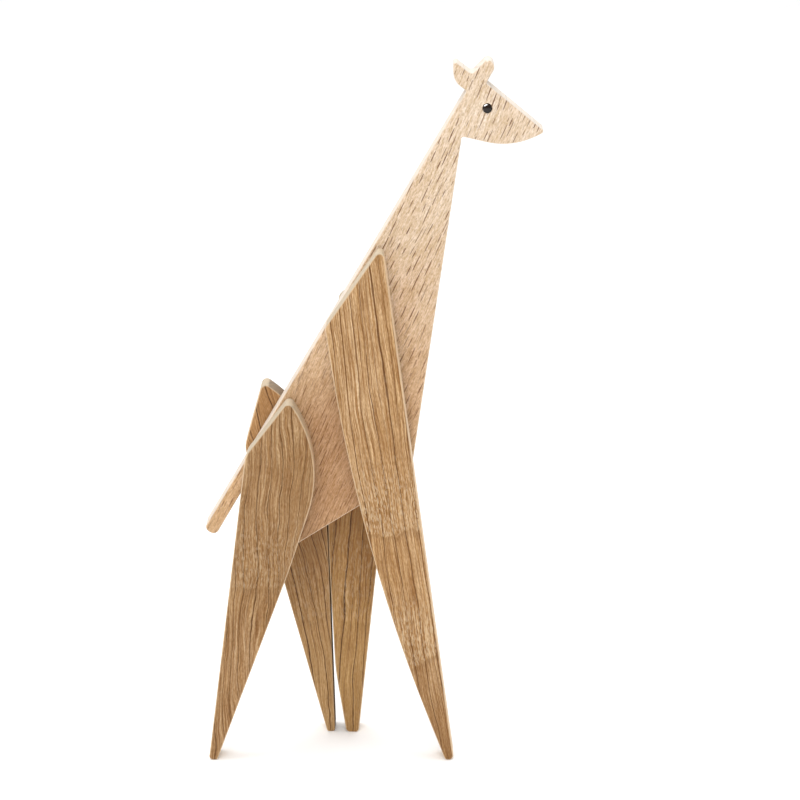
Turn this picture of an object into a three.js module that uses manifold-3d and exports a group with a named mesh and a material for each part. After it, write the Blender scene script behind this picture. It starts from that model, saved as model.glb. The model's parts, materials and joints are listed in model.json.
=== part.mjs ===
// Wooden giraffe figure: one beech board for nose, neck, body and tail, and four
// oak legs that stand flat against its two sides. Each leg is held by a pair of
// disc magnets let into the meeting faces, so it swivels and pulls off.
//
// Millimetres, +Z up. The giraffe faces +X, and its right side faces -Y. The
// origin is on the floor, below the middle of the standing figure.

import * as THREE from 'three';
import { mergeVertices } from 'three/addons/utils/BufferGeometryUtils.js';
import Module from 'manifold-3d';

const wasm = await Module();
wasm.setup();

// ---- Driving dimensions -------------------------------------------------------

const BOARD_THICKNESS = 7;
const LEG_THICKNESS = 7;

// Where each pair of legs turns: x along the figure, z above the floor.
const FRONT_PIVOT = { x: 4.85, z: 114.4 };
const HIND_PIVOT = { x: -29.2, z: 85.05 };

// Walking stance: how far each leg is swung forward from its upright outline, in degrees.
const FRONT_SWING = { right: 6.8, left: -6.8 };
const HIND_SWING = { right: -10.8, left: 11.0 };

// Cut by hand, the left front leg is fuller down its trailing edge than the right one:
// the corners of that edge's bow, and how far the back of the foot lies ahead of the pivot.
const FRONT_BOW = {
  right: [[-14.2, -49.4, 500]],
  left: [[-4.15, -96.1, 74], [-13.66, -39.2, 490]],
};
const FRONT_HEEL = { right: 2.35, left: 1.1 };

// The middle of each foot lies a little ahead of its pivot when the leg is upright.
const FRONT_FOOT_AHEAD = 3.35;
const HIND_FOOT_AHEAD = 0.65;

// Each leg is cut to reach the floor, and the end of its foot is sanded flat there.
const FOOT_FLAT_DEPTH = 0.1;

// The legs splay a little, so the feet stand wider than the pivots.
const FRONT_SPLAY = 0.8;
const HIND_SPLAY = 1.4;

// Air between the board and a leg, measured at the pivot.
const LEG_GAP = 1.0;

const MAGNET_RADIUS = 2;
const MAGNET_THICKNESS = 2;
const MAGNET_STANDS_PROUD = 0.35;
const MAGNET_CLEARANCE = 0.15;

const EYE_RADIUS = 1.2;
const EYE_X = 31.2;
const EYE_Z = 184.3;
const EYE_STANDS_PROUD = 0.45;
const EYE_DEPTH = 1.8;
const EYE_CLEARANCE = 0.1;

// Every rounded corner is 2 * ARC_STEPS straight runs, and every disc ROUND_STEPS.
const ARC_STEPS = 6;
const ROUND_STEPS = 48;
const EYE_DOME_STEPS = 6;

// A cutting tool starts this far outside the face it cuts into.
const CUT_MARGIN = 1;
const FLOOR_CUTTER_WIDTH = 400;
const FLOOR_CUTTER_DEPTH = 20;

const BEECH = 0xe6c8a6;
const OAK = 0xb58c5c;
const MAGNET_STEEL = 0xb4b6b8;
const EYE_BLACK = 0x0c0a09;

// ---- Outlines -----------------------------------------------------------------
// An outline is a list of corners [x, z, radius], each rounded by an arc that is
// tangent to the two straight lines that meet there.

// The board, from the tip of the tail up the back and round the head.
const BOARD_OUTLINE = [
  [-46.8, 65.5, 1.6],    // tail tip, upper
  [25.6, 188.9, 0.3],    // nape, under the ear
  [21.95, 191.6, 5.0],   // back of the ear
  [22.25, 197.1, 0.6],   // tip of the ear
  [27.0, 193.4, 1.2],    // notch between ear and horn
  [31.9, 198.5, 1.5],    // top of the horn
  [33.1, 195.0, 2.0],    // front of the horn
  [30.9, 191.1, 0.3],    // foot of the horn
  [46.8, 178.0, 0.8],    // nose
  [38.0, 173.5, 20.0],   // jaw
  [24.45, 176.65, 0.6],  // throat
  [11.0, 81.7, 3.0],     // chest
  [-31.5, 54.3, 3.0],    // rump
  [-33.2, 81.4, 0.8],    // where the tail leaves the body
  [-43.5, 63.6, 1.6],    // tail tip, lower
];

// A front leg about its pivot: a straight leading edge and a bowed trailing edge.
const frontLegOutline = (reach, sideName) => [
  [2.6, 34.1, 1.3],                        // point of the shoulder
  [4.7, -reach, 1.3],                      // foot, front
  [FRONT_HEEL[sideName], -reach, 1.25],    // foot, back
  ...FRONT_BOW[sideName],
  [-15.6, 13.3, 2.5],                      // corner against the back
];

// A hind leg about its pivot: a thigh that swells forward above a straight shank.
const hindLegOutline = (reach) => [
  [3.05, 21.0, 1.5],     // top of the hip
  [16.2, 7.1, 35.5],     // swell of the thigh
  [11.8, -27.0, 200],    // where the thigh runs into the shank
  [1.8, -reach, 0.95],   // foot, front
  [-0.5, -reach, 0.95],  // foot, back
  [-5.85, 3.3, 7.0],     // corner against the back
];

// ---- Geometry helpers -----------------------------------------------------------

const radians = THREE.MathUtils.degToRad;

// A closed THREE.Shape through the corners, each rounded to its own radius.
function roundedShape(corners) {
  const shape = new THREE.Shape();
  corners.forEach(([x, z, radius], i) => {
    const corner = new THREE.Vector2(x, z);
    const before = new THREE.Vector2(...corners.at(i - 1));
    const after = new THREE.Vector2(...corners[(i + 1) % corners.length]);
    const toBefore = before.sub(corner).normalize();
    const toAfter = after.sub(corner).normalize();
    const halfAngle = Math.acos(toBefore.dot(toAfter)) / 2;
    const bisector = toBefore.clone().add(toAfter).normalize();
    const centre = corner.clone().addScaledVector(bisector, radius / Math.sin(halfAngle));
    const tangent = radius / Math.tan(halfAngle);
    const start = corner.clone().addScaledVector(toBefore, tangent).sub(centre).angle();
    const end = corner.clone().addScaledVector(toAfter, tangent).sub(centre).angle();
    const turnsRight = toBefore.cross(toAfter) > 0;
    shape.absarc(centre.x, centre.y, radius, start, end, turnsRight);
  });
  shape.closePath();
  return shape;
}

// A flat board cut to an outline in the XZ plane, centred on y = 0.
function boardGeometry(corners, thickness) {
  const options = { depth: thickness, bevelEnabled: false, curveSegments: ARC_STEPS };
  const geometry = new THREE.ExtrudeGeometry(roundedShape(corners), options);
  geometry.rotateX(Math.PI / 2);
  geometry.translate(0, thickness / 2, 0);
  return geometry;
}

// A cylinder along Y between two faces, at (x, z).
function discGeometry(radius, yFrom, yTo, x = 0, z = 0) {
  const geometry = new THREE.CylinderGeometry(radius, radius, Math.abs(yTo - yFrom), ROUND_STEPS);
  geometry.translate(x, (yFrom + yTo) / 2, z);
  return geometry;
}

function toSolid(geometry) {
  const bare = geometry.clone();
  bare.deleteAttribute('normal');
  bare.deleteAttribute('uv');
  const merged = mergeVertices(bare, 1e-5);
  return new wasm.Manifold(new wasm.Mesh({
    numProp: 3,
    vertProperties: merged.attributes.position.array,
    triVerts: new Uint32Array(merged.index.array),
  }));
}

// Cuts every tool out of the body and gives the result back as a geometry.
function cut(body, tools) {
  const solid = tools.reduce((rest, tool) => rest.subtract(toSolid(tool)), toSolid(body));
  const { vertProperties, triVerts } = solid.getMesh();
  const geometry = new THREE.BufferGeometry();
  geometry.setAttribute('position', new THREE.BufferAttribute(vertProperties, 3));
  geometry.setIndex(new THREE.BufferAttribute(triVerts, 1));
  geometry.computeVertexNormals();
  return geometry;
}

function mesh(name, geometry, color, roughness, metalness = 0) {
  const material = new THREE.MeshStandardMaterial({ color, roughness, metalness });
  const result = new THREE.Mesh(geometry, material);
  result.name = name;
  return result;
}

// ---- Sub-parts --------------------------------------------------------------------
// side is -1 for the giraffe's right (-Y) and +1 for its left (+Y).

const PAIRS = {
  front: {
    pivot: FRONT_PIVOT,
    swing: FRONT_SWING,
    footAhead: FRONT_FOOT_AHEAD,
    splay: FRONT_SPLAY,
    outline: frontLegOutline,
  },
  hind: {
    pivot: HIND_PIVOT,
    swing: HIND_SWING,
    footAhead: HIND_FOOT_AHEAD,
    splay: HIND_SPLAY,
    outline: hindLegOutline,
  },
};

const SIDES = { right: -1, left: 1 };

// A blind round pocket that opens on the face at y = face. inward is the way into the wood.
function pocket(radius, depth, face, inward, x = 0, z = 0) {
  return discGeometry(radius, face - inward * CUT_MARGIN, face + inward * depth, x, z);
}

function magnetPocket(face, inward, x, z) {
  const depth = MAGNET_THICKNESS - MAGNET_STANDS_PROUD + MAGNET_CLEARANCE;
  return pocket(MAGNET_RADIUS + MAGNET_CLEARANCE, depth, face, inward, x, z);
}

function magnet(name, face, inward, x, z) {
  const outer = face - inward * MAGNET_STANDS_PROUD;
  const geometry = discGeometry(MAGNET_RADIUS, outer, outer + inward * MAGNET_THICKNESS, x, z);
  return mesh(name, geometry, MAGNET_STEEL, 0.3, 1);
}

function bodyBoard() {
  const tools = Object.values(SIDES).flatMap((side) => {
    const face = side * BOARD_THICKNESS / 2;
    const magnetTools = Object.values(PAIRS).map(
      ({ pivot }) => magnetPocket(face, -side, pivot.x, pivot.z),
    );
    const eyeSocket = pocket(
      EYE_RADIUS + EYE_CLEARANCE, EYE_DEPTH + EYE_CLEARANCE, face, -side, EYE_X, EYE_Z,
    );
    return [...magnetTools, eyeSocket];
  });
  const geometry = cut(boardGeometry(BOARD_OUTLINE, BOARD_THICKNESS), tools);
  return mesh('body_board', geometry, BEECH, 0.55);
}

// A black bead with a domed face, pressed into its socket.
function eye(name, side) {
  const profile = [new THREE.Vector2(0, -EYE_DEPTH), new THREE.Vector2(EYE_RADIUS, -EYE_DEPTH)];
  for (let i = 0; i <= EYE_DOME_STEPS; i += 1) {
    const turn = (i / EYE_DOME_STEPS) * Math.PI / 2;
    const radius = i === EYE_DOME_STEPS ? 0 : EYE_RADIUS * Math.cos(turn);
    profile.push(new THREE.Vector2(radius, EYE_STANDS_PROUD * Math.sin(turn)));
  }
  const geometry = new THREE.LatheGeometry(profile, ROUND_STEPS / 2);
  const result = mesh(name, geometry, EYE_BLACK, 0.12);
  result.rotation.x = side > 0 ? 0 : Math.PI;
  result.position.set(EYE_X, side * BOARD_THICKNESS / 2, EYE_Z);
  return result;
}

// A group at the pivot, tilted to the splay of one leg, whose Y axis is the swivel axis.
function legSeat(pair, side) {
  const seat = new THREE.Group();
  const y = side * (BOARD_THICKNESS / 2 + LEG_GAP + LEG_THICKNESS / 2);
  seat.position.set(pair.pivot.x, y, pair.pivot.z);
  seat.rotation.x = side * radians(pair.splay);
  return seat;
}

// The length below the pivot that brings a swung leg's foot down to the floor.
function reachToFloor(pair, swing) {
  const drop = pair.pivot.z + FOOT_FLAT_DEPTH + pair.footAhead * Math.sin(swing);
  return drop / Math.cos(swing);
}

// One leg, swung to its place in the stride, with its magnet pocket and flat foot.
function leg(name, pair, sideName, seat) {
  const side = SIDES[sideName];
  const swing = radians(pair.swing[sideName]);
  const result = mesh(name, undefined, OAK, 0.6);
  result.rotation.y = -swing;
  seat.add(result);
  seat.updateMatrixWorld(true);

  const floor = new THREE.BoxGeometry(FLOOR_CUTTER_WIDTH, FLOOR_CUTTER_WIDTH, FLOOR_CUTTER_DEPTH);
  floor.translate(0, 0, -FLOOR_CUTTER_DEPTH / 2);
  floor.applyMatrix4(result.matrixWorld.clone().invert());

  const innerFace = -side * LEG_THICKNESS / 2;
  const outline = pair.outline(reachToFloor(pair, swing), sideName);
  const blank = boardGeometry(outline, LEG_THICKNESS);
  result.geometry = cut(blank, [magnetPocket(innerFace, side), floor]);
}

function giraffe() {
  const figure = new THREE.Group();
  figure.add(bodyBoard());
  for (const [sideName, side] of Object.entries(SIDES)) {
    figure.add(eye(`${sideName}_eye`, side));
    for (const [pairName, pair] of Object.entries(PAIRS)) {
      const place = `${pairName}_${sideName}`;
      const boardFace = side * BOARD_THICKNESS / 2;
      const { x, z } = pair.pivot;
      figure.add(magnet(`${place}_body_magnet`, boardFace, -side, x, z));

      const seat = legSeat(pair, side);
      leg(`${place}_leg`, pair, sideName, seat);
      seat.add(magnet(`${place}_leg_magnet`, -side * LEG_THICKNESS / 2, side));
      figure.add(seat);
    }
  }
  return figure;
}

export default giraffe();
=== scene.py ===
"""Wooden giraffe figure: a beech board and four oak legs on disc magnets, on a pale studio floor.

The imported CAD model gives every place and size. Each wooden plate is rebuilt on its node's outline with
sanded, rounded edges, and the magnets and eyes are turned again with a finer profile.
"""

import json
import math

import bmesh
import bpy
from mathutils import Matrix, Vector, geometry, noise


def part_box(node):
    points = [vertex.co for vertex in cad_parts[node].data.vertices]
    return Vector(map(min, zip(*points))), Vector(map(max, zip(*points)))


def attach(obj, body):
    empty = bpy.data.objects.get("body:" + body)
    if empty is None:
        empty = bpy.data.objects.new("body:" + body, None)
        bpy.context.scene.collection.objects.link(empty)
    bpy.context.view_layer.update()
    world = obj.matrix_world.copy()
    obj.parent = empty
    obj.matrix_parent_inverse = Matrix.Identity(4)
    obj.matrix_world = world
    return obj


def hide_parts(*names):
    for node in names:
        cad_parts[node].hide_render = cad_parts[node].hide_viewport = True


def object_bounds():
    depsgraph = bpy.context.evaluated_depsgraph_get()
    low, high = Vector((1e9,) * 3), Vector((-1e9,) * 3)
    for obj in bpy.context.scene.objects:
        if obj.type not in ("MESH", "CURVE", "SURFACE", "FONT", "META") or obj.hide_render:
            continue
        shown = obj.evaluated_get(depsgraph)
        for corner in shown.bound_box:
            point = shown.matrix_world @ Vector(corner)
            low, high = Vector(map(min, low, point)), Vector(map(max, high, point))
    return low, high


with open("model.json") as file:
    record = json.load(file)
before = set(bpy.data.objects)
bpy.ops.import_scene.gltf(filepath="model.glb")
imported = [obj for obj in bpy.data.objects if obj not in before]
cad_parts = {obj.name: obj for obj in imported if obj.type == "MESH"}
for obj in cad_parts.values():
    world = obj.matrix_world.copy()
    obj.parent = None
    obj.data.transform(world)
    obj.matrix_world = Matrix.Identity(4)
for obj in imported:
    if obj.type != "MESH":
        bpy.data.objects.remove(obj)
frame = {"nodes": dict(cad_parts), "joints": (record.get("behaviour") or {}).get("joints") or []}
cad_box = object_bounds()

MM = 0.001

# ---- Sizes that the looks add, in metres ------------------------------------------------

EDGE_RADIUS = 0.42 * MM          # sanded edge of every plate
EDGE_VARIATION = 0.22            # share by which hand sanding varies that radius
EDGE_STEPS = 5
SPACING = 1.5 * MM               # between the points that a plate's face is built on
ROW_SPACING = 0.87 * SPACING     # between the staggered rows of those points
RIM_MARGIN = 0.55 * SPACING      # kept clear of them along the plate's rim
HOLE_MARGIN = 0.5 * SPACING      # kept clear of them around a pocket
FACE_RELIEF = 0.018 * MM         # slow unevenness of a sanded face
RELIEF_SCALE = 9 * MM
SANDING_WAVES = 1.7              # changes of the sanded edge's radius for each one of the relief
RIM_CHAMFER = 0.1 * MM           # broken edge of a drilled pocket
POCKET_CLEARANCE = 0.15 * MM     # round a magnet, for its glue
SOCKET_CLEARANCE = 0.1 * MM      # round an eye, for its glue
MAGNET_ROUNDING = 0.18 * MM
MAGNET_RINGS = (0.93, 0.55)      # radii of the rings that a magnet's face is built on, as shares of its own
BEAD_BEVEL = 0.06 * MM           # round the back of an eye
DISC_STEPS = 64
CORNER_STEPS = 4
BEAD_STEPS = 12
BEAD_BACK = 0.96                 # radius of an eye's flat back, as a share of the eye's
POCKET_WEAR = 0.6                # "edge" value inside a pocket

SAME_POINT = 0.002 * MM          # CAD points closer than this are one
SQUARE_ON = 0.9999               # cosine of the angle within which a CAD face lies in a plate's plane
CAP_DEPTH = 0.1 * MM             # such faces this far below the highest one aren't the plate's face
MERGE_DISTANCE = 1e-7
MITRE_LIMIT = 0.5                # cosine beyond which a sharp corner's inset stops growing

# ---- Reading the CAD nodes ----------------------------------------------------------------


class Plane:
    """A plate's own frame: x along the figure, y out of the plate, z up the plate."""

    def __init__(self, origin, normal):
        self.origin = Vector(origin)
        self.y = Vector(normal).normalized()
        self.x = Vector((1, 0, 0))
        self.z = self.x.cross(self.y).normalized()

    def local(self, point):
        offset = Vector(point) - self.origin
        return Vector((offset.dot(self.x), offset.dot(self.y), offset.dot(self.z)))

    def world(self, x, y, z):
        return self.origin + self.x * x + self.y * y + self.z * z


def node_centre(node):
    low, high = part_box(node)
    return (low + high) / 2


def cad_outline(node, plane):
    """The outer loop of the node's face on the plane's +y side, as (x, z) points, and that face's y."""
    mesh = bmesh.new()
    mesh.from_mesh(frame["nodes"][node].data)
    bmesh.ops.remove_doubles(mesh, verts=mesh.verts, dist=SAME_POINT)
    cap = {face for face in mesh.faces if face.normal.dot(plane.y) > SQUARE_ON}
    height = max(plane.local(face.calc_center_median()).y for face in cap)
    cap = {f for f in cap if height - plane.local(f.calc_center_median()).y < CAP_DEPTH}
    rim = [e for e in mesh.edges if sum(face in cap for face in e.link_faces) == 1]
    following = {}
    for edge in rim:
        for vert in edge.verts:
            following.setdefault(vert, []).append(edge)
    loops = []
    unused = set(rim)
    while unused:
        edge = next(e for e in rim if e in unused)
        vert = edge.verts[0]
        loop = []
        while edge in unused:
            unused.discard(edge)
            loop.append(plane.local(vert.co))
            vert = edge.other_vert(vert)
            edge = next((e for e in following[vert] if e in unused), edge)
        loops.append([(p.x, p.z) for p in loop])
    mesh.free()
    outer = max(loops, key=lambda loop: abs(signed_area(loop)))
    return (outer if signed_area(outer) > 0 else outer[::-1]), height


def signed_area(loop):
    following = loop[1:] + loop[:1]
    return sum(a[0] * b[1] - b[0] * a[1] for a, b in zip(loop, following)) / 2


# ---- Plates -------------------------------------------------------------------------------


def resampled(loop, spacing):
    """The loop with its long straight runs divided, so that no side is longer than the spacing."""
    points = []
    for a, b in zip(loop, loop[1:] + loop[:1]):
        a, b = Vector(a), Vector(b)
        steps = max(1, math.ceil((b - a).length / spacing))
        points += [a.lerp(b, i / steps) for i in range(steps)]
    return points


def inward_normals(loop):
    """At each point of an anticlockwise loop, the inward vector that insets both sides by 1."""
    normals = []
    count = len(loop)
    for i, point in enumerate(loop):
        before = (point - loop[i - 1]).normalized()
        after = (loop[(i + 1) % count] - point).normalized()
        middle = (before + after).normalized()
        inward = Vector((-middle.y, middle.x))
        normals.append(inward / max(MITRE_LIMIT, middle.dot(before)))
    return normals


def inside(point, loop):
    """Whether a point is inside a loop, by counting crossings."""
    result = False
    for a, b in zip(loop, loop[1:] + loop[:1]):
        if (a[1] > point[1]) != (b[1] > point[1]):
            result ^= point[0] < (b[0] - a[0]) * (point[1] - a[1]) / (b[1] - a[1]) + a[0]
    return result


def circle(centre, radius, count=DISC_STEPS):
    turns = [2 * math.pi * i / count for i in range(count)]
    return [Vector((centre[0] + radius * math.cos(t), centre[1] + radius * math.sin(t))) for t in turns]


def face_points(outline, holes):
    """A staggered grid of points inside the outline and clear of its rim and of the holes."""
    low_x, high_x = min(p.x for p in outline), max(p.x for p in outline)
    low_z, high_z = min(p.y for p in outline), max(p.y for p in outline)
    points = []
    row = 0
    z = low_z + SPACING / 2
    while z < high_z:
        stagger = 0.25 + 0.5 * (row % 2)
        x = low_x + SPACING * stagger
        while x < high_x:
            point = Vector((x, z))
            off_holes = all((point - centre).length > radius + HOLE_MARGIN for centre, radius in holes)
            if off_holes and inside(point, outline):
                if min((point - p).length for p in outline) > RIM_MARGIN:
                    points.append(point)
            x += SPACING
        z += ROW_SPACING
        row += 1
    return points


class PlateMesh:
    """The mesh of one plate in its plane. Its "edge" values say how worn each vertex is, from 0 to 1."""

    def __init__(self, plane, half):
        self.plane = plane
        self.half = half
        self.mesh = bmesh.new()
        self.edge_layer = self.mesh.verts.layers.float.new("edge")

    def vertex(self, x, y, z, edge):
        """A vertex at a place in the plane, and never below the floor."""
        place = self.plane.world(x, y, z)
        place.z = max(place.z, 0.0)
        made = self.mesh.verts.new(place)
        made[self.edge_layer] = edge
        return made

    def join(self, ring_a, ring_b):
        count = len(ring_a)
        for i in range(count):
            j = (i + 1) % count
            self.mesh.faces.new((ring_a[i], ring_a[j], ring_b[j], ring_b[i]))

    def sanded_radius(self, point):
        place = Vector((point.x, self.half, point.y)) / RELIEF_SCALE
        return EDGE_RADIUS * (1 + EDGE_VARIATION * noise.noise(place * SANDING_WAVES))

    def side_wall(self, outline):
        """The wall round the plate with both its rounded edges; gives the rims of the -y and +y faces."""
        loop = resampled(outline, SPACING)
        normals = inward_normals(loop)
        rings = []
        for side in (-1, 1):
            steps = range(EDGE_STEPS + 1) if side == 1 else range(EDGE_STEPS, -1, -1)
            for step in steps:
                turn = math.pi / 2 * step / EDGE_STEPS
                ring = []
                for point, inward in zip(loop, normals):
                    radius = self.sanded_radius(point)
                    moved = point + inward * (radius * (1 - math.cos(turn)))
                    rise = self.half - radius * (1 - math.sin(turn))
                    ring.append(self.vertex(moved.x, side * rise, moved.y, 1 - step / EDGE_STEPS))
                rings.append(ring)
        for ring_a, ring_b in zip(rings, rings[1:]):
            self.join(ring_b, ring_a)
        return rings[0], rings[-1]

    def face(self, side, rim, holes):
        """The sanded face inside a rim, open at each (centre, radius) hole; gives the rings round them."""
        outline = [Vector((p.x, p.z)) for p in (self.plane.local(v.co) for v in rim)]
        points = list(outline)
        bounds = [list(range(len(outline)))]
        for centre, radius in holes:
            ring = circle(centre, radius + RIM_CHAMFER)
            bounds.append([len(points) + i for i in range(len(ring))][::-1])
            points += ring
        fixed = len(points)
        points += face_points(outline, holes)
        flat, _, faces, origins, _, _ = geometry.delaunay_2d_cdt(points, [], bounds, 1, MERGE_DISTANCE)
        verts = []
        for point, source in zip(flat, origins):
            first = min(source) if source else fixed
            if first < len(rim):
                verts.append(rim[first])
                continue
            relief = 0.0
            if first >= fixed:
                place = Vector((point.x, side * self.half, point.y)) / RELIEF_SCALE
                relief = FACE_RELIEF * noise.noise(place)
            verts.append(self.vertex(point.x, side * (self.half + relief), point.y, 0.0))
        for face in faces:
            middle = sum((flat[i] for i in face), Vector((0, 0))) / len(face)
            in_hole = any((middle - centre).length < radius for centre, radius in holes)
            corners = [verts[i] for i in face]
            if inside(middle, outline) and not in_hole and len(set(corners)) == len(corners):
                self.mesh.faces.new(corners if side == -1 else corners[::-1])
        made_from = {min(source): vert for vert, source in zip(verts, origins) if source}
        starts = [len(outline) + DISC_STEPS * i for i in range(len(holes))]
        return [[made_from[start + i] for i in range(DISC_STEPS)] for start in starts]

    def pocket(self, side, rim, centre, radius, depth):
        """A drilled pocket inside its rim in the face, with a broken edge and a flat bottom."""
        previous = rim
        for y in (self.half - RIM_CHAMFER, self.half - depth):
            ring = [self.vertex(p.x, side * y, p.y, POCKET_WEAR) for p in circle(centre, radius)]
            self.join(*((previous, ring) if side == -1 else (ring, previous)))
            previous = ring
        middle = self.vertex(centre[0], side * (self.half - depth), centre[1], POCKET_WEAR)
        for i in range(DISC_STEPS):
            pair = (previous[i], previous[(i + 1) % DISC_STEPS])
            self.mesh.faces.new((*pair, middle) if side == -1 else (*pair[::-1], middle))


def plate(name, node, body, plane, pockets):
    """A board on its node's outline, with rounded edges, uneven sanded faces and drilled pockets.

    pockets is a list of (side, centre, radius, depth), with side +1 or -1 along the plane's y.
    """
    outline, half = cad_outline(node, plane)
    board = PlateMesh(plane, half)
    for side, rim in zip((-1, 1), board.side_wall(outline)):
        drilled = [pocket[1:] for pocket in pockets if pocket[0] == side]
        rings = board.face(side, rim, [(Vector(centre), radius) for centre, radius, _ in drilled])
        for ring, (centre, radius, depth) in zip(rings, drilled):
            board.pocket(side, ring, centre, radius, depth)
    return finished(name, board.mesh, node, body)


def finished(name, mesh, node, body):
    """Turns a bmesh into a smooth-shaded piece that stands for its node and rides on its body."""
    bmesh.ops.recalc_face_normals(mesh, faces=mesh.faces)
    data = bpy.data.meshes.new(name)
    mesh.to_mesh(data)
    mesh.free()
    piece = bpy.data.objects.new(name, data)
    bpy.context.scene.collection.objects.link(piece)
    data.shade_smooth()
    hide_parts(node)
    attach(piece, body)
    return piece


def turned(name, node, body, origin, axis, profile):
    """A round piece: (radius, height) points of the profile turned about an axis."""
    spin = Vector((0, 0, 1)).rotation_difference(Vector(axis)).to_matrix().to_4x4()
    place = Matrix.Translation(origin) @ spin
    mesh = bmesh.new()
    rings = []
    for radius, height in profile:
        if radius == 0:
            rings.append([mesh.verts.new(place @ Vector((0, 0, height)))])
            continue
        rings.append([mesh.verts.new(place @ Vector((p.x, p.y, height))) for p in circle((0, 0), radius)])
    for a, b in zip(rings, rings[1:]):
        for i in range(DISC_STEPS):
            j = (i + 1) % DISC_STEPS
            corners = [a[i % len(a)], a[j % len(a)], b[j % len(b)], b[i % len(b)]]
            mesh.faces.new(list(dict.fromkeys(corners)))
    return finished(name, mesh, node, body)


# ---- Material graphs ----------------------------------------------------------------------


SHORTEST_DASH = 0.35             # as a share of the longest
DASH_SOFTNESS = 0.45
PALEST_DASH = 0.6
SHARE_SOFTNESS = 0.08            # share of cells whose dash is partly there


class Graph:
    """Short names for the shader nodes that the materials are built from."""

    def __init__(self, name):
        self.material = bpy.data.materials.new(name)
        self.material.use_nodes = True
        self.tree = self.material.node_tree
        self.tree.nodes.clear()
        self.bsdf = self.tree.nodes.new("ShaderNodeBsdfPrincipled")
        output = self.tree.nodes.new("ShaderNodeOutputMaterial")
        self.tree.links.new(self.bsdf.outputs[0], output.inputs[0])

    def set(self, socket, value):
        if isinstance(value, bpy.types.NodeSocket):
            self.tree.links.new(value, socket)
        elif isinstance(value, (tuple, list, Vector)) and socket.type == "RGBA":
            socket.default_value = (*value[:3], 1.0)
        else:
            socket.default_value = value

    def node(self, kind, inputs, output=0, **properties):
        made = self.tree.nodes.new("ShaderNode" + kind)
        for key, value in properties.items():
            setattr(made, key, value)
        for key, value in inputs.items():
            self.set(made.inputs[key], value)
        return made.outputs[output]

    def math(self, operation, *values):
        return self.node("Math", dict(enumerate(values)), operation=operation)

    def add(self, a, b):
        return self.math("ADD", a, b)

    def times(self, a, b):
        return self.math("MULTIPLY", a, b)

    def minus(self, a, b):
        return self.math("SUBTRACT", a, b)

    def vector(self, x, y, z):
        return self.node("CombineXYZ", {0: x, 1: y, 2: z})

    def split(self, vector):
        """A vector's x, y and z."""
        parts = self.tree.nodes.new("ShaderNodeSeparateXYZ")
        self.set(parts.inputs[0], vector)
        return tuple(parts.outputs)

    def vector_math(self, operation, *values, output=0):
        return self.node("VectorMath", dict(enumerate(values)), output, operation=operation)

    def scaled(self, vector, factor):
        return self.node("VectorMath", {0: vector, "Scale": factor}, operation="SCALE")

    def place(self):
        """Where the point is at rest, in metres, since every piece's own origin is the frame's."""
        return self.node("TexCoord", {}, output=3)

    def step(self, value, low, high):
        """Rises smoothly from 0 at low to 1 at high; low may be the larger."""
        inputs = {"Value": value, "From Min": low, "From Max": high}
        return self.node("MapRange", inputs, interpolation_type="SMOOTHSTEP")

    def ramp(self, value, low, high, to_low, to_high):
        inputs = {"Value": value, "From Min": low, "From Max": high, "To Min": to_low, "To Max": to_high}
        return self.node("MapRange", inputs)

    def mix(self, factor, a, b):
        return self.node("Mix", {0: factor, 6: a, 7: b}, output=2, data_type="RGBA")

    def tint(self, colour, value, low, high, dark, light):
        """The colour times one tint where the value is low, and times the other where it is high."""
        factor = self.mix(self.ramp(value, low, high, 0.0, 1.0), dark, light)
        return self.vector_math("MULTIPLY", colour, factor)

    def noise(self, vector, detail=2.0, roughness=0.5):
        inputs = {"Vector": vector, "Scale": 1.0, "Detail": detail, "Roughness": roughness}
        return self.node("TexNoise", inputs, noise_dimensions="3D")

    def grain(self, place, frequencies, detail=2.0):
        """Noise drawn out along the grain: (along, across, depth) in mm, and its frequencies per mm."""
        return self.noise(self.vector_math("MULTIPLY", self.vector(*place), frequencies), detail)

    def mottle(self, size, detail):
        """Even noise of a size in metres."""
        return self.noise(self.scaled(self.place(), 1 / size), detail)

    def bump(self, strength, distance, height):
        return self.node("Bump", {"Strength": strength, "Distance": distance, "Height": height})

    def surface(self, inputs):
        """The finished material, with these inputs of its surface shader."""
        for name, value in inputs.items():
            self.set(self.bsdf.inputs[name], value)
        return self.material

    def dashes(self, place, length, width, cell_length, cell_width, share):
        """Spindles along the grain, 1 at the middle and 0 off them, in the given share of cells, in mm."""
        along, across, depth = place
        cells = self.vector(self.times(along, 1 / cell_length), self.times(across, 1 / cell_width), depth)
        voronoi = self.tree.nodes.new("ShaderNodeTexVoronoi")
        voronoi.voronoi_dimensions = "3D"
        self.set(voronoi.inputs["Vector"], cells)
        self.set(voronoi.inputs["Scale"], 1.0)
        off_x, off_y, _ = self.split(self.vector_math("SUBTRACT", cells, voronoi.outputs["Position"]))
        chance = self.tree.nodes.new("ShaderNodeSeparateColor")
        self.set(chance.inputs[0], voronoi.outputs["Color"])
        longest = length / cell_length
        reach = self.ramp(chance.outputs[0], 0, 1, SHORTEST_DASH * longest, longest)
        run = self.math("DIVIDE", self.times(off_x, 2.0), reach)
        spread = self.math("DIVIDE", self.times(off_y, 2.0 * cell_width), width)
        taper = self.minus(1.0, self.times(run, run))
        body = self.minus(taper, self.times(spread, spread))
        spindle = self.step(body, 0.0, DASH_SOFTNESS)
        shown = self.step(chance.outputs[1], share, share - SHARE_SOFTNESS)
        strength = self.ramp(chance.outputs[2], 0, 1, PALEST_DASH, 1.0)
        return self.times(self.times(spindle, shown), strength)


def srgb(red, green, blue):
    """A colour given as 0-255 display values, as linear light."""
    def linear(value):
        share = value / 255
        return share / 12.92 if share <= 0.04045 else ((share + 0.055) / 1.055) ** 2.4
    return tuple(linear(v) for v in (red, green, blue))


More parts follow.
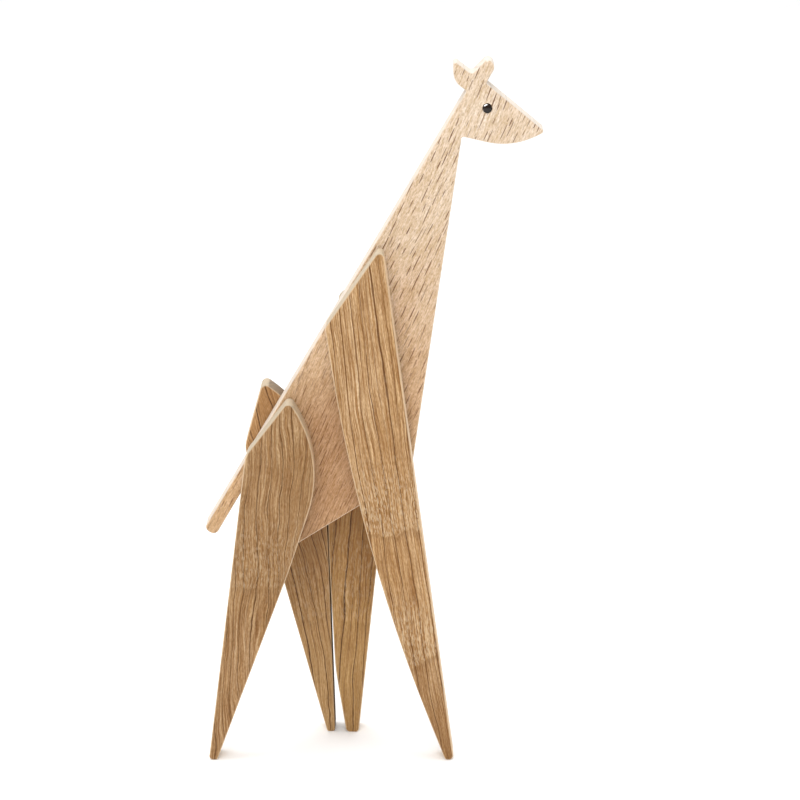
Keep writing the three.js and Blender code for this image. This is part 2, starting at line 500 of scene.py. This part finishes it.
# Albedos are given as the display values of a flat patch under a light of strength 1.
BEECH_HEAD = srgb(219, 195, 167)
BEECH_HEAD_WARM = srgb(214, 187, 156)
BEECH_BODY = srgb(210, 176, 134)
BEECH_BODY_WARM = srgb(197, 158, 118)
# painted shade: the pinker, darker tone between the legs low on the body
BEECH_PAINTED_BELLY_SHADE = srgb(187, 146, 106)
BEECH_FLECK = srgb(94, 50, 18)
# pale edge tone: partly wear, partly a painted sheen of light on the rounded edge
BEECH_EDGE = srgb(222, 202, 178)
# painted light: the greyer tone of a beech edge that faces up, for the light from above
BEECH_EDGE_FACING_UP_PAINTED_LIGHT = srgb(208, 200, 190)
BODY_TONE_HEIGHT = 80 * MM
HEAD_TONE_HEIGHT = 170 * MM
BEECH_LEAN = 66                  # degrees from +X towards +Z
# where that painted shade between the legs lies, and how far it reaches
PAINTED_BELLY_SHADE_MIDDLE = (-12 * MM, 0, 80 * MM)
PAINTED_BELLY_SHADE_REACH = (22 * MM, 1.0, 32 * MM)

OAK_RAY = srgb(222, 200, 166)
# pale edge tone: partly wear, partly a painted sheen of light on the rounded edge
OAK_EDGE = srgb(222, 196, 162)
# painted shade: the darker, greyer tone of an oak edge that faces up
OAK_EDGE_FACING_UP_PAINTED_SHADE = srgb(182, 170, 148)
PAINTED_GAP_SHADE_TONE = srgb(34, 20, 12)        # painted shade: the deep shade in the narrow gap between the far legs, on an edge that faces +X

# These colours are linear.
NICKEL_DULL = (0.62, 0.62, 0.61)
NICKEL_BRIGHT = (0.73, 0.72, 0.70)
BEAD_BLACK = (0.002, 0.001, 0.0007)
BEAD_DUST = (0.005, 0.0028, 0.002)

WOOD_GLOSS = 0.28                # low, so that the sky's reflection doesn't grey the dark marks
EDGE_PALENESS = 0.78             # share of the edge tone on a worn edge, whose paleness is partly wear and partly a painted sheen
WOOD_RELIEF = 0.12 * MM
LINES_PER_YEAR = 2.63            # fainter lines within a year's growth
RAY_GROUND = 0.08                # ray figure outside the patches
PATCH_RISE = (0.0, 0.8)          # mm along the grain from a ray patch's lower end, where it starts
PATCH_FALL = (16.0, -4.0)        # and from its upper end, where it fades
RIM_RISE = (-2.2, -0.4)          # its dark rim, from its lower end
RIM_FALL = (0.5, -0.1)
GRAIN_SLANT = 0.35               # sideways shift of the growth lines per mm of depth


def grain_coordinates(graph, origin, lean):
    """Millimetres along the grain, across it and into the plate. lean is from +X towards +Z, in degrees."""
    millimetres = graph.scaled(graph.vector_math("SUBTRACT", graph.place(), tuple(origin)), 1 / MM)
    turned_by = {"Vector": millimetres, "Angle": math.radians(lean)}
    along, depth, across = graph.split(graph.node("VectorRotate", turned_by, rotation_type="Y_AXIS"))
    return along, across, depth


def finish_wood(graph, tone, edge_tone, edge_tone_facing_up_painted, height, roughness, bump, painted_gap_shade=0.0):
    """A sanded and oiled face with pale edges, partly wear and partly a painted sheen. Edges that face up
    get a painted tone for the light from above, and where asked, edges that face +X a painted shade.

    The gap shade argument is how dark that painted shade is, from 0 for none to 1.
    """
    facing_x, _, facing_z = graph.split(graph.node("NewGeometry", {}, output=1))
    # edges that face up in the world get a painted tone for the light from above: greyer on beech, darker
    # on oak
    edge_tone = graph.mix(graph.step(facing_z, 0.15, 0.6), edge_tone, edge_tone_facing_up_painted)
    gloss = WOOD_GLOSS
    # painted shade in the narrow gap between two legs on the edges that face +X, with their reflection
    # taken away
    if painted_gap_shade:
        gap_shaded = graph.times(graph.step(facing_x, 0.35, 0.8), painted_gap_shade)
        edge_tone = graph.mix(gap_shaded, edge_tone, PAINTED_GAP_SHADE_TONE)
        gloss = graph.ramp(gap_shaded, 0, 1, WOOD_GLOSS, 0.0)
    edge = graph.step(graph.node("Attribute", {}, output=2, attribute_name="edge"), 0.0, 0.6)
    return graph.surface({
        # pale edge tone, partly wear and partly a painted sheen
        "Base Color": graph.mix(graph.times(edge, EDGE_PALENESS), tone, edge_tone),
        "Roughness": roughness,
        "Specular IOR Level": gloss,
        "Normal": graph.bump(bump, WOOD_RELIEF, height),
    })


def beech():
    """Pale beech: dark ray flecks along the neck, fine fibre, and a pinker painted shade between the legs.
    """
    g = Graph("beech")
    along, across, depth = grain_coordinates(g, (0, 0, 0), BEECH_LEAN)
    wander = g.grain((along, across, depth), (0.02, 0.05, 0.05))
    across = g.add(across, g.ramp(wander, 0, 1, -2.5, 2.5))
    place = (along, across, depth)
    layer = g.times(depth, 0.09)

    _, _, up = g.split(g.place())
    head = g.step(up, BODY_TONE_HEIGHT, HEAD_TONE_HEIGHT)
    # painted shade between the legs: how near a point is to its middle
    off_painted_belly_shade = g.vector_math("DIVIDE", g.vector_math("SUBTRACT", g.place(), PAINTED_BELLY_SHADE_MIDDLE), PAINTED_BELLY_SHADE_REACH)
    painted_belly_shade = g.step(g.vector_math("LENGTH", off_painted_belly_shade, output=1), 1.25, 0.45)

    # Each kind of mark is moved along the grain, so that no two kinds share a pattern.
    flecks = g.dashes(
        (along, across, layer), length=7.0, width=0.32, cell_length=6.2, cell_width=1.75, share=0.80
    )
    body_flecks = g.dashes(
        (g.add(along, 31.0), across, layer),
        length=4.6, width=0.24, cell_length=3.8, cell_width=1.3, share=0.75,
    )
    body_flecks = g.times(body_flecks, g.ramp(head, 0, 1, 0.85, 0.22))
    dots = g.dashes(
        (g.add(along, 77.0), across, layer),
        length=1.7, width=0.20, cell_length=1.6, cell_width=0.7, share=0.6,
    )

    fibre = g.grain(place, (0.24, 2.4, 0.4), 1.0)
    speckle = g.grain(place, (1.3, 3.4, 1.0), 1.0)
    cloud = g.grain(place, (0.012, 0.07, 0.05))

    pale = g.mix(head, BEECH_BODY, BEECH_HEAD)
    warm = g.mix(head, BEECH_BODY_WARM, BEECH_HEAD_WARM)
    tone = g.mix(g.step(cloud, 0.35, 0.65), pale, warm)
    # painted shade between the legs
    tone = g.mix(painted_belly_shade, tone, BEECH_PAINTED_BELLY_SHADE)
    tone = g.tint(tone, fibre, 0.30, 0.70, (0.88, 0.84, 0.76), (1.09, 1.14, 1.24))
    tone = g.tint(tone, speckle, 0.30, 0.70, (0.84, 0.80, 0.72), (1.13, 1.18, 1.28))
    tone = g.mix(g.times(dots, 0.34), tone, BEECH_FLECK)
    tone = g.mix(g.times(body_flecks, 0.55), tone, BEECH_FLECK)
    tone = g.mix(g.times(flecks, g.ramp(head, 0, 1, 0.62, 0.92)), tone, BEECH_FLECK)

    marks = g.add(g.times(flecks, 0.8), g.times(body_flecks, 0.5))
    height = g.minus(g.times(fibre, 0.5), marks)
    roughness = g.add(g.ramp(fibre, 0, 1, 0.48, 0.62), g.times(marks, 0.1))
    return finish_wood(g, tone, BEECH_EDGE, BEECH_EDGE_FACING_UP_PAINTED_LIGHT, height, roughness, bump=0.3)


def growth_lines(g, place, ring):
    """The dark line that starts a year, the fainter lines within it, and the rise of late wood.

    place is (along, across, depth) and ring the width of a year, in mm. Both kinds of line have breaks.
    """
    spread = g.grain(place, (0.004, 0.11, 0.0), 1.0)
    count = g.add(g.times(place[1], 1 / ring), g.ramp(spread, 0, 1, -0.7, 0.7))
    year = g.math("FRACT", count)
    early = g.math("MAXIMUM", g.step(year, 0.10, 0.04), g.step(year, 0.988, 1.0))
    part = g.math("FRACT", g.times(count, LINES_PER_YEAR))
    fainter = g.math("MAXIMUM", g.step(part, 0.15, 0.05), g.step(part, 0.965, 1.0))
    broken = g.grain(place, (0.05, 0.45, 0.2))
    early = g.times(early, g.ramp(g.step(broken, 0.28, 0.46), 0, 1, 0.35, 1.0))
    fainter = g.times(fainter, g.step(broken, 0.60, 0.42))
    return early, fainter, g.step(year, 0.25, 0.95)


def ray_patches(g, along, bands):
    """How much ray figure shows at a place along the grain, and the dark rim below each patch of it."""
    def change(middle, reach):
        return g.step(along, middle + reach[0], middle + reach[1])

    patch = RAY_GROUND
    rim = 0.0
    for start, end, strength in bands:
        figured = g.times(change(start, PATCH_RISE), change(end, PATCH_FALL))
        patch = g.math("MAXIMUM", patch, g.times(figured, strength))
        below = g.times(change(start, RIM_RISE), change(start, RIM_FALL))
        rim = g.math("MAXIMUM", rim, g.times(below, strength))
    return patch, rim


def oak(
    name, origin, lean, bend, ring, waviness, light, warm, line, offset,
    figure, sparkle_bands, tone_and_painted_light_steps, painted_gap_shade=0.0,
):
    """Oak: thin dark growth lines, long pores, crisp fibre, and stippled ray patches across the grain.

    lean is the grain's direction from +X towards +Z in degrees, bend curves the lines (1/mm), ring is the
    spacing of the growth lines in mm, waviness their wander in mm, and offset moves the pattern along the
    grain. light, warm and line are the tones of early wood, late wood and the lines. figure is the strength
    of the fine fibre. sparkle_bands lists the ray patches as (start, end, strength), and the tone steps
    list changes of tone as (start, end, tint before, tint after), both in mm along the grain from the
    origin; on the far legs some of these steps are painted shade under the board and painted light at the
    hip. The gap shade argument darkens the edge that faces +X with a painted shade.
    """
    g = Graph(name)
    along, across, depth = grain_coordinates(g, origin, lean)
    shift = g.add(along, offset)
    wide = g.grain((shift, across, depth), (0.018, 0.06, 0.03), 1.0)
    near = g.grain((shift, across, depth), (0.07, 0.20, 0.1))
    bowed = g.add(across, g.times(g.times(along, along), bend))
    bowed = g.add(bowed, g.ramp(wide, 0, 1, -waviness * 3, waviness * 3))
    bowed = g.add(bowed, g.ramp(near, 0, 1, -waviness, waviness))
    bowed = g.add(bowed, g.times(depth, GRAIN_SLANT))
    place = (shift, bowed, depth)

    early, fainter, late = growth_lines(g, place, ring)
    fibre = g.grain(place, (0.04, 2.2, 0.5), 1.0)
    hair = g.grain(place, (0.11, 4.4, 1.0), 1.0)
    grit = g.grain(place, (1.0, 3.6, 1.0), 1.0)
    pores = g.dashes(
        (shift, bowed, g.times(depth, 0.2)),
        length=3.6, width=0.22, cell_length=3.0, cell_width=0.6, share=0.75,
    )
    pores = g.times(pores, g.ramp(early, 0, 1, 0.35, 1.0))

    patch, rim = ray_patches(g, g.add(along, g.ramp(near, 0, 1, -4.5, 4.5)), sparkle_bands)
    spark = g.grain(place, (0.5, 3.0, 1.0), 1.0)
    sparks = g.times(g.step(spark, 0.54, 0.64), patch)
    pits = g.times(g.step(spark, 0.43, 0.35), patch)
    rays = g.dashes(
        (g.add(shift, 13.0), bowed, g.times(depth, 0.5)),
        length=2.2, width=0.34, cell_length=1.5, cell_width=0.62, share=0.55,
    )
    rays = g.times(rays, patch)

    tone = g.mix(g.step(wide, 0.3, 0.7), light, warm)
    tone = g.mix(g.times(late, 0.25), tone, warm)
    plain = tone
    tone = g.tint(tone, fibre, 0.32, 0.68, (0.82, 0.73, 0.58), (1.15, 1.22, 1.36))
    tone = g.tint(tone, hair, 0.30, 0.70, (0.66, 0.54, 0.38), (1.27, 1.37, 1.56))
    tone = g.tint(tone, grit, 0.30, 0.70, (0.82, 0.77, 0.66), (1.14, 1.19, 1.28))
    tone = g.mix(figure, plain, tone)
    # steps of tone along the grain; on the far legs some are painted shade under the board and painted
    # light at the hip
    for start, end, tint_before, tint_after in tone_and_painted_light_steps:
        tone = g.tint(tone, along, start, end, tint_before, tint_after)
    tone = g.mix(g.times(rim, 0.35), tone, line)
    tone = g.mix(g.times(fainter, 0.60), tone, line)
    tone = g.mix(g.times(early, 0.95), tone, line)
    tone = g.mix(g.times(pores, 0.75), tone, line)
    tone = g.mix(g.times(pits, 0.50), tone, line)
    tone = g.mix(g.times(sparks, 0.55), tone, OAK_RAY)
    tone = g.mix(g.times(rays, 0.55), tone, OAK_RAY)

    height = g.minus(g.times(fibre, 0.5), g.add(g.times(pores, 0.8), g.times(early, 0.35)))
    roughness = g.minus(g.ramp(fibre, 0, 1, 0.64, 0.50), g.times(rays, 0.12))
    return finish_wood(g, tone, OAK_EDGE, OAK_EDGE_FACING_UP_PAINTED_SHADE, height, roughness, bump=0.4, painted_gap_shade=painted_gap_shade)


def nickel():
    """Bright plated magnet with a fine unevenness and cloudy handling marks."""
    g = Graph("nickel")
    fine = g.mottle(size=0.12 * MM, detail=3.0)
    cloud = g.mottle(size=1.4 * MM, detail=2.0)
    return g.surface({
        "Base Color": g.mix(g.step(cloud, 0.3, 0.7), NICKEL_DULL, NICKEL_BRIGHT),
        "Metallic": 1.0,
        "Roughness": g.ramp(fine, 0.2, 0.8, 0.16, 0.32),
        "Normal": g.bump(strength=0.12, distance=0.02 * MM, height=fine),
    })


def bead():
    """Glossy black eye with a little dust."""
    g = Graph("black_bead")
    dust = g.mottle(size=0.15 * MM, detail=4.0)
    return g.surface({
        "Base Color": g.mix(g.step(dust, 0.45, 0.75), BEAD_BLACK, BEAD_DUST),
        "Roughness": g.ramp(dust, 0.3, 0.8, 0.08, 0.16),
        "Specular IOR Level": 0.35,
    })


# ---- The figure ---------------------------------------------------------------------------

LEGS = ("front_right_leg", "front_left_leg", "hind_right_leg", "hind_left_leg")
EYES = ("right_eye", "left_eye")
swivels = {j["child"]: j for j in frame["joints"] if j["type"] == "hinge"}
board_plane = Plane((0, node_centre("body_board").y, 0), (0, 1, 0))
board_low, board_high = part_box("body_board")
thickness = board_high.y - board_low.y    # of the board, and of the legs


def side_of(name):
    return 1 if "left" in name else -1


def body_magnet(leg):
    return leg.replace("_leg", "_body_magnet")


def outward_axis(leg):
    """The leg's swivel axis, pointing away from the board."""
    axis = Vector(swivels[leg]["axis"]).normalized()
    return -axis if axis.y * side_of(leg) < 0 else axis


def disc(node, plane):
    """A disc node's middle (x, z) in a plane, its radius, and its lowest and highest y."""
    points = [plane.local(v.co) for v in frame["nodes"][node].data.vertices]
    middle = plane.local(node_centre(node))
    radius = max(abs(p.x - middle.x) for p in points)
    return (middle.x, middle.z), radius, min(p.y for p in points), max(p.y for p in points)


def pocket_for(node, plane, clearance):
    """The pocket that holds a disc node in a plate that is centred on the plane's y = 0."""
    centre, radius, low, high = disc(node, plane)
    side = 1 if (low + high) > 0 else -1
    buried = low if side == 1 else -high
    return side, centre, radius + clearance, thickness / 2 - buried + clearance


WOODS = {
    "front_right_leg": dict(
        lean=96.8, bend=0.0003, ring=3.3, waviness=0.6, light=srgb(189, 152, 108), warm=srgb(174, 133, 85),
        line=srgb(96, 56, 12), offset=0, figure=1.0, sparkle_bands=((-47, -35, 0.7), (-85, -73, 0.65)),
        # darker towards the foot
        tone_and_painted_light_steps=((-98, -78, (0.75, 0.68, 0.58), (1.0, 1.0, 1.0)),),
    ),
    "hind_right_leg": dict(
        lean=85.5, bend=0.0006, ring=2.7, waviness=1.4, light=srgb(171, 134, 92), warm=srgb(153, 114, 70),
        line=srgb(90, 56, 16), offset=230, figure=1.0, sparkle_bands=((-34, -20, 0.35),),
        tone_and_painted_light_steps=((-60, -30, (1.02, 1.02, 1.02), (1.0, 1.02, 1.04)),),
    ),
    "front_left_leg": dict(
        lean=75, bend=0.0012, ring=3.3, waviness=0.8, light=srgb(174, 135, 87), warm=srgb(157, 117, 70),
        line=srgb(78, 46, 12), offset=410, figure=0.6, sparkle_bands=((-80, -60, 0.25),),
        # darker towards the top: painted shade under the board; lighter towards the foot
        tone_and_painted_light_steps=((-80, -58, (1.12, 1.18, 1.16), (0.83, 0.78, 0.64)),),
    ),
    "hind_left_leg": dict(
        lean=106, bend=-0.0012, ring=3.2, waviness=1.0, light=srgb(171, 133, 88), warm=srgb(154, 116, 73),
        line=srgb(78, 46, 16), offset=590, figure=0.6, sparkle_bands=((-52, -40, 0.25),),
        tone_and_painted_light_steps=(
            # darker towards the top and lighter towards the foot
            (-62, -34, (1.10, 1.15, 1.14), (0.95, 0.93, 0.86)),
            # painted light that lifts the hip out of the board's shade
            (-24, -6, (1.0, 1.0, 1.0), (1.28, 1.26, 1.34)),
        ),
        # painted shade in the narrow gap next to the far front leg
        painted_gap_shade=0.96,
    ),
}


def magnet(node, body, axis, material):
    """A plated disc with rounded corners, turned from the middle of its back to the middle of its face."""
    centre = node_centre(node)
    _, radius, low, high = disc(node, Plane(centre, axis))
    turns = [math.pi / 2 * i / CORNER_STEPS for i in range(CORNER_STEPS + 1)]
    corner = [(MAGNET_ROUNDING * math.sin(t), MAGNET_ROUNDING * math.cos(t)) for t in turns]
    inner = radius - MAGNET_ROUNDING
    profile = [(0, low)]
    profile += [(inner + rising, low + MAGNET_ROUNDING - falling) for rising, falling in corner]
    profile += [(inner + falling, high - MAGNET_ROUNDING + rising) for rising, falling in corner]
    profile += [(radius * share, high) for share in MAGNET_RINGS]
    profile.append((0, high))
    piece = turned("nickel_" + node, node, body, centre, axis, profile)
    piece.data.materials.append(material)


def eye_bead(node, material):
    """A domed bead in its socket: the dome starts where it leaves the board's face."""
    centre = node_centre(node)
    axis = Vector((0, side_of(node), 0))
    plane = Plane(centre, axis)
    _, radius, low, high = disc(node, plane)
    face = plane.local((0, side_of(node) * thickness / 2, centre.z)).y
    profile = [(0, low), (radius * BEAD_BACK, low), (radius, low + BEAD_BEVEL), (radius, face)]
    for i in range(1, BEAD_STEPS):
        turn = math.pi / 2 * i / BEAD_STEPS
        profile.append((radius * math.cos(turn), face + (high - face) * math.sin(turn)))
    profile.append((0, high))
    piece = turned("bead_" + node, node, "body", centre, axis, profile)
    piece.data.materials.append(material)
    return piece


pockets = [pocket_for(body_magnet(leg), board_plane, POCKET_CLEARANCE) for leg in LEGS]
pockets += [pocket_for(eye, board_plane, SOCKET_CLEARANCE) for eye in EYES]
board = plate("beech_board", "body_board", "body", board_plane, pockets)
board.data.materials.append(beech())

for leg in LEGS:
    pivot = swivels[leg]["pos_m"]
    plane = Plane(pivot, outward_axis(leg))
    pockets = [pocket_for(leg + "_magnet", plane, POCKET_CLEARANCE)]
    piece = plate("oak_" + leg, leg, leg, plane, pockets)
    piece.data.materials.append(oak("oak_" + leg, pivot, **WOODS[leg]))

nickel_material = nickel()
for leg in LEGS:
    magnet(body_magnet(leg), "body", Vector((0, side_of(leg), 0)), nickel_material)
    magnet(leg + "_magnet", leg.replace("_leg", "_magnet"), -outward_axis(leg), nickel_material)

bead_material = bead()
beads = [eye_bead(eye, bead_material) for eye in EYES]

# ---- Studio -------------------------------------------------------------------------------

FLOOR_HALF_WIDTH = 6.0           # metres
FLOOR_MOTTLE = 1 / 18
FLOOR_DARK = (0.88, 0.88, 0.88)
FLOOR_LIGHT = (0.91, 0.91, 0.91)
CAMERA_ELEVATION = math.radians(16.72)
CAMERA_AZIMUTH = math.radians(0.52)
CAMERA_DISTANCE = 0.7225
CAMERA_LENS = 118.35             # millimetres, as the sensor
CAMERA_SENSOR = 36
CAMERA_CLIP = (0.05, 50)
AIM_OFFSET = Vector((8.0, -3.5, 4.7)) * MM
figure_middle = (cad_box[0] + cad_box[1]) / 2


def studio_floor():
    """A pale matt floor, a flat square that reaches far behind the figure."""
    g = Graph("studio_floor")
    mottle = g.mottle(size=FLOOR_MOTTLE, detail=3.0)
    material = g.surface({
        "Base Color": g.mix(mottle, FLOOR_DARK, FLOOR_LIGHT),
        "Roughness": 0.9,
        "Specular IOR Level": 0.1,
    })
    half = FLOOR_HALF_WIDTH
    mesh = bmesh.new()
    corners = [(-half, -half, 0), (half, -half, 0), (half, half, 0), (-half, half, 0)]
    mesh.faces.new([mesh.verts.new(corner) for corner in corners])
    data = bpy.data.meshes.new("studio_floor")
    mesh.to_mesh(data)
    mesh.free()
    floor = bpy.data.objects.new("studio_floor", data)
    bpy.context.scene.collection.objects.link(floor)
    data.materials.append(material)


def softbox(name, direction, distance, size, power, only=()):
    """A round lamp that points at the figure, and lights only the given pieces if there are any."""
    data = bpy.data.lights.new(name, "AREA")
    data.shape = "DISK"
    data.size = size
    data.energy = power
    light = bpy.data.objects.new(name, data)
    towards = Vector(direction).normalized()
    light.location = figure_middle + towards * distance
    light.rotation_mode = "QUATERNION"
    light.rotation_quaternion = towards.to_track_quat("Z", "Y")
    bpy.context.scene.collection.objects.link(light)
    if only:
        receivers = bpy.data.collections.new(name + "_receivers")
        for piece in only:
            receivers.objects.link(piece)
        light.light_linking.receiver_collection = receivers


def studio_world(horizon, zenith, front_share):
    """White light that grows from the horizon up to overhead, and is dimmer in front, behind the camera."""
    world = bpy.data.worlds.new("studio")
    world.use_nodes = True
    tree = world.node_tree
    direction = tree.nodes.new("ShaderNodeTexCoord")
    parts = tree.nodes.new("ShaderNodeSeparateXYZ")
    tree.links.new(direction.outputs["Generated"], parts.inputs[0])

    def share(part, low, high, to_low, to_high):
        made = tree.nodes.new("ShaderNodeMapRange")
        for socket, value in zip(list(made.inputs)[1:5], (low, high, to_low, to_high)):
            socket.default_value = value
        tree.links.new(parts.outputs[part], made.inputs["Value"])
        return made.outputs[0]

    product = tree.nodes.new("ShaderNodeMath")
    product.operation = "MULTIPLY"
    tree.links.new(share(2, 0, 1, horizon, zenith), product.inputs[0])
    tree.links.new(share(1, -0.8, 0, front_share, 1), product.inputs[1])
    background = tree.nodes["Background"]
    background.inputs["Color"].default_value = (1, 1, 1, 1)
    tree.links.new(product.outputs[0], background.inputs["Strength"])
    bpy.context.scene.world = world


def studio_camera():
    """A long lens a little above the figure and nearly square to its side."""
    data = bpy.data.cameras.new("camera")
    data.lens = CAMERA_LENS
    data.sensor_width = CAMERA_SENSOR
    data.clip_start, data.clip_end = CAMERA_CLIP
    camera = bpy.data.objects.new("camera", data)
    away = Vector((
        math.sin(CAMERA_AZIMUTH) * math.cos(CAMERA_ELEVATION),
        -math.cos(CAMERA_AZIMUTH) * math.cos(CAMERA_ELEVATION),
        math.sin(CAMERA_ELEVATION),
    ))
    camera.location = figure_middle + AIM_OFFSET + away * CAMERA_DISTANCE
    camera.rotation_mode = "QUATERNION"
    camera.rotation_quaternion = away.to_track_quat("Z", "Y")
    bpy.context.scene.collection.objects.link(camera)
    bpy.context.scene.camera = camera


studio_floor()
studio_world(horizon=1.1, zenith=1.4, front_share=0.2)
softbox("overhead", (-0.15, 0.05, 1.0), distance=1.1, size=0.50, power=5.0)
softbox("front", (-0.12, -0.85, 0.95), distance=1.1, size=0.70, power=6.0)
softbox("eye_light", (-0.45, -0.33, 0.84), distance=0.9, size=1.0, power=160.0, only=beads)
studio_camera()
bpy.context.scene.view_settings.view_transform = "Standard"
